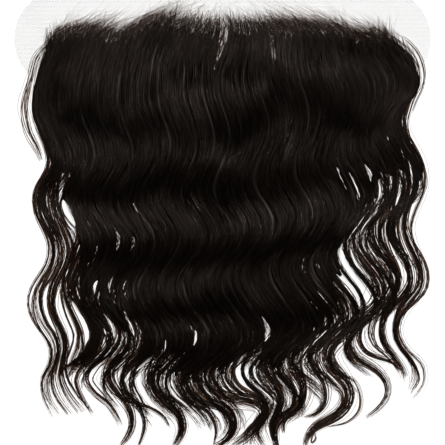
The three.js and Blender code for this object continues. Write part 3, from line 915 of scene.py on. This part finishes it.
def lock_strands(tubes, lock, count, layer):
    """The hairs of a lock: side by side at the root, gathered into wisps, each with an end of its own."""
    left, right = lock["across"]
    centre, half = (left + right) / 2, (right - left) / 2
    wisps = max(2, round(count / HAIRS_IN_A_WISP))
    wisp = rng.integers(0, wisps, count)
    wisp_place = (np.arange(wisps) + 0.5) / wisps * 2 - 1 + rng.normal(0, 0.15, wisps)
    place = np.clip(wisp_place[wisp] + rng.normal(0, 1.1 / wisps, count), -1.15, 1.15)
    tips = lock["tip"] - np.abs(rng.normal(0, 0.04, wisps))[wisp] - np.abs(rng.normal(0, 0.02, count))
    starts = layer["start"] + rng.normal(0, 0.014, count) - uneven(centre + half * place) / REACH
    starts = starts[:, None]
    shares = shares_of(count, HAIR_STEPS)
    row = blend(starts, tips[:, None], shares)
    drawn = smooth(lock["loose"], lock["tip"], row)
    gathered = blend(place[:, None], wisp_place[wisp][:, None], 0.85 * smooth(0.25, lock["split"], row))
    across = parted(lock["piece"], centre + half * gathered * blend(1, lock["end"], drawn), row)
    wander = rng.normal(0, 1, (wisps, 2))[wisp]
    stray = rng.normal(0, 1, (count, 2))
    phase = each(count, 0, 2 * np.pi)
    flyaway = each(count) < FLYAWAYS
    aside = (
        wander[:, :1] * WISP_WANDER * np.sin(row * 9 + wander[:, 1:] * 3)
        + stray[:, :1] * np.where(flyaway, FLYAWAY_STRAY, HAIR_STRAY) * np.sin(row * 15 + phase)
    ) * smooth(0.02, 0.3, row)
    aside = aside + root_stray(row, starts)
    swept = each(count, *ROOT_SWEPT)
    early = rng.normal(0, 0.006, wisps)[wisp][:, None] + around(count, 0.003)
    swung = 1 + rng.normal(0, 0.07, wisps)[wisp][:, None] + around(count, 0.05)
    lift = blend(layer["low"], layer["high"], each(count) ** 0.6)
    round_over = np.sqrt(np.clip(1 - (0.85 * place[:, None]) ** 2, 0, 1))
    rise = 0.06 * np.sin(row * each(count, 40, 62) + phase)
    height = lift * blend(0.85, 1, round_over) * (1 + rise * smooth(0.05, 0.15, row))
    path = laid(across, row, height, aside, early * smooth(0.1, 0.3, row), swung, swept)
    path = np.where(flyaway[..., None], path, opened(path))
    thick = thicknesses(tips, shares)
    path[..., 2] = np.maximum(path[..., 2], thick)
    # Painted shade: hairs in the dips are darkened, and their tone falls below 0 so that they also lose
    # their gloss
    blurred = path[..., 1] + around(count, PAINTED_SHADE_BLUR)
    dark = dip_and_painted_shade(path[..., 0], blurred) * each(count, 0.5, 1)
    tone = HAIR_TONE * each(count) ** 1.2 * (1 - dark) * np.where(flyaway, 0.5, 1) - PAINTED_SHADE_TONE * dark
    tubes.add(path, thick, thick * HAIR_HEIGHT, tone)


ROOT_STEPS = 8
ROOT_HAIRS = 900  # for each unit across


def root_hairs(tubes, lock):
    """Short hairs that fill a lock's roots, where its long hairs still lie apart."""
    left, right = lock["across"]
    count = hair_count(lock, ROOT_HAIRS)
    across = each(count, left, right)
    starts = 0.002 + around(count, 0.012) - uneven(across) / REACH
    shares = shares_of(count, ROOT_STEPS)
    row = starts + shares * each(count, 0.06, 0.12)
    aside = root_stray(row, starts)
    height = each(count, 0.6, 1) * blend(1, 0.7, shares)
    path = laid(parted(lock["piece"], across, row), row, height, aside, swept=each(count, *ROOT_SWEPT))
    thick = each(count, 0.09, 0.22) * MM * blend(0.6, 1, smooth(0, 0.3, shares))
    # darker in the dips: painted shade
    tone = each(count) * (1 - dip_and_painted_shade(path[..., 0], path[..., 1]))
    tubes.add(path, thick, thick * HAIR_HEIGHT, tone)


CORE_STEPS = 46
CORE_SPACE = 0.034  # across, from one core to the next


def lock_cores(tubes, lock, layer):
    """The dense middle of a lock, which no light comes through: narrow cores of their own heights."""
    left, right = lock["across"]
    count = round((right - left) / CORE_SPACE)
    place = (np.arange(count) + 0.5) / count * 2 - 1
    across = (left + right) / 2 + (right - left) / 2 * place[:, None]
    last = min(lock["tip"] - 0.1, lock["dense"]) - each(count, 0, 0.04)
    first = layer["start"] + 0.012 + each(count, 0, 0.012) - uneven(across) / REACH
    row = blend(first, last, np.linspace(0, 1, CORE_STEPS)[None, :])
    drawn = smooth(last - 0.06, last + 0.02, row)
    middle = (left + right) / 2
    across = parted(lock["piece"], blend(across, middle, drawn * (1 - lock["end"])), row)
    top = layer["high"] * each(count, 0.52, 0.66) * blend(0.5, 1, smooth(0, 0.06, row - first))
    begun = blend(0.45, 1, smooth(0, 0.03, row - first))
    wide = CORE_SPACE * HALF_WIDTH * 0.75 * blend(1, 0.3, drawn) * begun
    path = opened(laid(across, row, top * 0.5), wide * 0.8)
    above = laid(across, row, top)
    # darker in the dips: painted shade
    tone = np.full_like(row, 0.15) * (1 - dip_and_painted_shade(path[..., 0], path[..., 1]))
    tubes.add(path, wide, (above - path)[..., 2], tone, sides=6)


def lie(path, lift):
    """Sets hairs that are charted from above at their height in the bed: a share of it."""
    low = table_height((HAIRLINE_Y - path[..., 1]) / REACH)
    z = low + (bed_height(path[..., 0], path[..., 1]) - low) * lift
    return np.concatenate((path, z[..., None]), axis=-1)


HAIRS_IN_A_BUNDLE = 3
LOOSE_SHARE = 0.4  # the share of a loose lock's hairs that are in no bundle
LOOSE_THICKNESS = 0.95
BUNDLED_THICKNESS = 1.45


def charted_lock(tubes, centre, half, hairs, first, slim):
    """Hairs round a curve of steps by 2 points. half: half the width by step; first: the share of the curve
    by which all of them have started; slim: how thin they are at first."""
    steps = len(centre)
    ahead = np.gradient(centre, axis=0)
    ahead /= np.linalg.norm(ahead, axis=1, keepdims=True)
    side = np.stack((-ahead[:, 1], ahead[:, 0]), axis=-1)
    starts = first * each(hairs) ** 2
    ends = 1 - np.abs(around(hairs, 0.04))
    shares = shares_of(hairs, steps)
    along = blend(starts, ends, shares) * (steps - 1)
    before = np.clip(along.astype(int), 0, steps - 2)
    part = (along - before)[..., None]

    def at(values):
        return blend(values[before], values[before + 1], part)

    bundles = max(2, round(hairs / HAIRS_IN_A_BUNDLE))
    bundle = rng.integers(0, bundles, hairs)
    bundle_places = (np.arange(bundles) + 0.5) / bundles * 2 - 1 + rng.normal(0, 0.12, bundles)
    bundle_turn = rng.uniform(0, 2 * np.pi, bundles)[bundle][:, None]
    place = bundle_places[bundle][:, None] * (1 + 0.35 * np.sin(shares * 8 + bundle_turn))
    loose_hair = each(hairs) < LOOSE_SHARE
    place = place + around(hairs, 1) * np.where(loose_hair, 0.9, 0.6 / bundles)
    phase = rng.uniform(0, 2 * np.pi, (hairs, 2))
    stray = rng.normal(0, 1, (hairs, 2))
    strayed = (
        0.3 * stray[:, :1] * np.sin(shares * 9 + phase[:, :1])
        + 0.1 * stray[:, 1:] * np.sin(shares * 21 + phase[:, 1:])
    ) * np.where(loose_hair, 1, 0.35)
    offset = (place + strayed)[..., None] * at(half[:, None]) * smooth(0, 0.08, shares + 0.03)[..., None]
    crossed = 1 - 0.6 * np.minimum(np.abs(place) / 1.5, 1)
    path = opened(lie(at(centre) + at(side) * offset, each(hairs, 0.25, 1) * crossed))
    thick = thicknesses(ends, shares) * np.where(loose_hair, LOOSE_THICKNESS, BUNDLED_THICKNESS)
    thick = thick * blend(slim, 1, smooth(0, 0.4, shares))
    path[..., 2] = np.maximum(path[..., 2], thick)
    # darker in the dips: painted shade
    tone = each(hairs, 0.2, 1) * (1 - 0.7 * dip_and_painted_shade(path[..., 0], path[..., 1]))
    tubes.add(path, thick, thick * HAIR_HEIGHT, tone)


FAN_STEPS = 48
WISP_STEPS = 32
WISP_FULLNESS = 1.1
WISP_SLIM = 0.8
VEIL_SLIM = 0.6


def fan(tubes, chart):
    """Narrow locks spread between two charted ones."""
    left, right = (charted(chart[edge], FAN_STEPS) for edge in ("left", "right"))
    for number in range(chart["locks"]):
        place = (number + rng.uniform(0.3, 0.7)) / chart["locks"]
        wander = rng.normal(0, 0.05) * np.sin(np.linspace(0, 14, FAN_STEPS) + rng.uniform(0, 6))
        centre = blend(left, right, (place + wander)[:, None])
        rows = np.linspace(0, 1, FAN_STEPS)
        half = chart["narrow"] * SQUARE * blend(1.8, 1, smooth(0.1, 0.35, rows)) * blend(1, 0.7, rows)
        charted_lock(tubes, centre, half, chart["hairs"], 0.12, chart["slim"])


def wisp(tubes, chart, slim):
    """A loose lock along its charted curve. slim: how thin its hairs are at first."""
    centre = charted(chart["path"], WISP_STEPS)
    half = np.interp(np.linspace(0, 1, WISP_STEPS), (0, 0.5, 1), chart["wide"]) * SQUARE
    charted_lock(tubes, centre, half, round(chart["hairs"] * WISP_FULLNESS), 0.2, slim)


# The two layers of the hair. start: how far down its roots are; low and high: where its hairs lie in the bed
UPPER = {"start": 0.0, "low": 0.66, "high": 1.06}
LOWER = {"start": 0.12, "low": 0.15, "high": 0.45}
UPPER_HAIRS = 740  # for each unit across
LOWER_HAIRS = 110
LOWER_START = 0.06  # how far across from the middle the lower layer's locks begin
LOWER_TIP = 0.04  # how much earlier its locks end, as a share of REACH
LOWER_LOOSE = 0.03  # how much earlier they draw together


def of_piece(rows, piece):
    """The rows of a table that belong to a piece."""
    return [row for row in rows if row["piece"] == piece]


cores = Tubes()
for lock in LOCKS:
    lock_cores(cores, lock, UPPER)
cores.piece("lock_cores", dense_material, "hair")

roots = Tubes()
for lock in LOCKS:
    root_hairs(roots, lock)
roots.piece("root_hairs", hair_material, "hair")

for piece in ("left", "middle", "right"):
    strands = Tubes()
    for lock in of_piece(LOCKS, piece):
        lock_strands(strands, lock, hair_count(lock, UPPER_HAIRS), UPPER)
    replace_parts(strands.piece(f"{piece}_strands", hair_material, "hair"), f"hair_{piece}")

    loose = Tubes()
    for chart in of_piece(FANS, piece):
        fan(loose, chart)
    for chart in of_piece(WISPS, piece):
        wisp(loose, chart, WISP_SLIM)
    for chart in of_piece(VEILS, piece):
        wisp(loose, chart, VEIL_SLIM)
    loose.piece(f"{piece}_wisps", loose_material, "hair")

for piece, side in (("left", -1), ("right", 1)):
    strands = Tubes()
    for lock in LOCKS:
        if sum(lock["across"]) / 2 * side > LOWER_START:
            lower = dict(lock, tip=lock["tip"] - LOWER_TIP, loose=lock["loose"] - LOWER_LOOSE)
            lock_strands(strands, lower, hair_count(lock, LOWER_HAIRS), LOWER)
    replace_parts(strands.piece(f"under_{piece}_strands", hair_material, "hair"), f"under_hair_{piece}")

# Fine hair along the hairline: its roots stand towards the middle, and it runs back into the dense hair
FINE_STEPS = 6
FINE_HAIRS = 1700
FINE_LENGTHS = (4 * MM, 26 * MM)


def fine_hairs(name, first, last, count):
    """Fine hairs between two places across. Many are short and a few are long."""
    across = each(count, first, last)
    share = shares_of(count, FINE_STEPS)
    length = blend(*FINE_LENGTHS, each(count) ** 1.5)
    lean = -np.clip(across * 2.5, -1, 1) * each(count, 0.4, 1.6) + around(count, 0.35)
    x = across * HALF_HAIRLINE + lean * length * share ** each(count, 0.8, 1.6)
    ahead = length * share * each(count, 0.3, 1)
    y = HAIRLINE_Y - hairline_drop(across) + uneven(across) - each(count, -1.5, 8) * MM + ahead
    z = LACE_THICKNESS + 0.4 * MM + each(count, 0.3, 1.6) * MM * (1 - share) ** 0.5
    thick = each(count, 0.05, 0.12) * MM * blend(1.2, 0.5, share)
    tubes = Tubes()
    tubes.add(np.stack((x, y, z), axis=-1), thick, thick, each(count) * np.ones_like(share))
    return tubes.piece(name, fine_material, "fine_hair")


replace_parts(fine_hairs("fine_hair_left", -0.98, 0.0, FINE_HAIRS), "hairline_left")
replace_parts(fine_hairs("fine_hair_right", 0.03, 0.97, FINE_HAIRS), "hairline_right")

# Lace
LACE_END_RADIUS = 43 * MM
LACE_FRONT_BOW = 6 * MM
LACE_BACK_BOW = 24 * MM
LACE_COLUMNS = 96
LACE_ROWS = 30
NET_THICKNESS = 0.3 * MM
NET_HEIGHT = 0.6 * MM
NET_RIPPLE = 0.15 * MM
NET_INSET = 0.05 * MM  # how far inside the solid's ends the net ends


def lace_edges(x):
    """The front and back edge of the lace at x: two bows between round ends."""
    half = (lace_high.x - lace_low.x) / 2
    corner = half - LACE_END_RADIUS
    middle = lace_high.y - LACE_FRONT_BOW - LACE_END_RADIUS
    if abs(x) > corner:
        rise = math.sqrt(max(LACE_END_RADIUS**2 - (abs(x) - corner) ** 2, 0))
        return middle + rise, middle - rise
    bow = 1 - (x / corner) ** 2
    return (
        middle + LACE_END_RADIUS + LACE_FRONT_BOW * bow,
        middle - LACE_END_RADIUS - LACE_BACK_BOW * bow,
    )


def lace_sheet():
    """A grid drawn out to the lace's outline, with soft ripples, made as thick as the net."""
    half = (lace_high.x - lace_low.x) / 2 - NET_INSET
    bpy.ops.object.select_all(action="DESELECT")
    bpy.ops.mesh.primitive_grid_add(x_subdivisions=LACE_COLUMNS, y_subdivisions=LACE_ROWS, size=2)
    sheet = bpy.context.object
    sheet.name = "lace_net"
    for vertex in sheet.data.vertices:
        column, row = vertex.co.x, vertex.co.y
        x = half * math.sin(column * math.pi / 2)
        front, back = lace_edges(x)
        y = blend(back, front, (row + 1) / 2)
        ripple = NET_RIPPLE * (math.sin(x * 90 + y * 40) + math.sin(x * 37 - y * 150))
        vertex.co = (x, y, NET_HEIGHT + ripple)
    solid = sheet.modifiers.new("net", "SOLIDIFY")
    solid.thickness = NET_THICKNESS
    solid.offset = 0
    bpy.ops.object.modifier_apply(modifier="net")
    bpy.ops.object.shade_smooth()
    sheet.data.materials.append(lace_finish())
    return sheet


lace = lace_sheet()
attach(lace, "root")
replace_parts(lace, "lace_base")

# Table, light and camera
TABLE_SIZE = 14.0


def emitting(name, colour, strength, base):
    """A dull surface that glows a little itself."""
    finish = Finish(name)
    return finish.surface(finish.add("ShaderNodeBsdfPrincipled", {
        "Base Color": (*base, 1),
        "Roughness": 0.9,
        "Specular IOR Level": 0.0,
        "Emission Color": (*colour, 1),
        "Emission Strength": strength,
    }))


bpy.ops.object.select_all(action="DESELECT")
bpy.ops.mesh.primitive_plane_add(size=TABLE_SIZE, location=(0, 0, 0))
table = bpy.context.object
table.name = "table"
table.data.materials.append(emitting("white_table", (1, 1, 1), 0.85, (0.4, 0.4, 0.4)))


def soft_light(name, place, size, power):
    """A rectangle of light that faces the part."""
    data = bpy.data.lights.new(name, "AREA")
    data.shape = "RECTANGLE"
    data.size, data.size_y = size
    data.energy = power
    lamp = bpy.data.objects.new(name, data)
    lamp.location = place
    lamp.rotation_euler = (-lamp.location).to_track_quat("-Z", "Y").to_euler()
    bpy.context.scene.collection.objects.link(lamp)


soft_light("key_light", (0.1, 1.2, 2.1), (1.6, 0.5), 41)
soft_light("fill_light", (-0.4, -1.6, 1.8), (1.4, 0.8), 0.4)

world = bpy.data.worlds.new("studio")
bpy.context.scene.world = world
world.use_nodes = True
world.node_tree.nodes["Background"].inputs["Color"].default_value = (1, 1, 1, 1)
world.node_tree.nodes["Background"].inputs["Strength"].default_value = 0.005

CAMERA_HEIGHT = 2.4
SENSOR_WIDTH = 36
camera_data = bpy.data.cameras.new("camera")
camera_data.sensor_width = SENSOR_WIDTH
camera_data.lens = SENSOR_WIDTH * CAMERA_HEIGHT / PHOTO_FIELD
camera = bpy.data.objects.new("camera", camera_data)
camera.location = (0, -4 * MM, CAMERA_HEIGHT)
bpy.context.scene.collection.objects.link(camera)
bpy.context.scene.camera = camera
bpy.context.scene.view_settings.view_transform = "Standard"
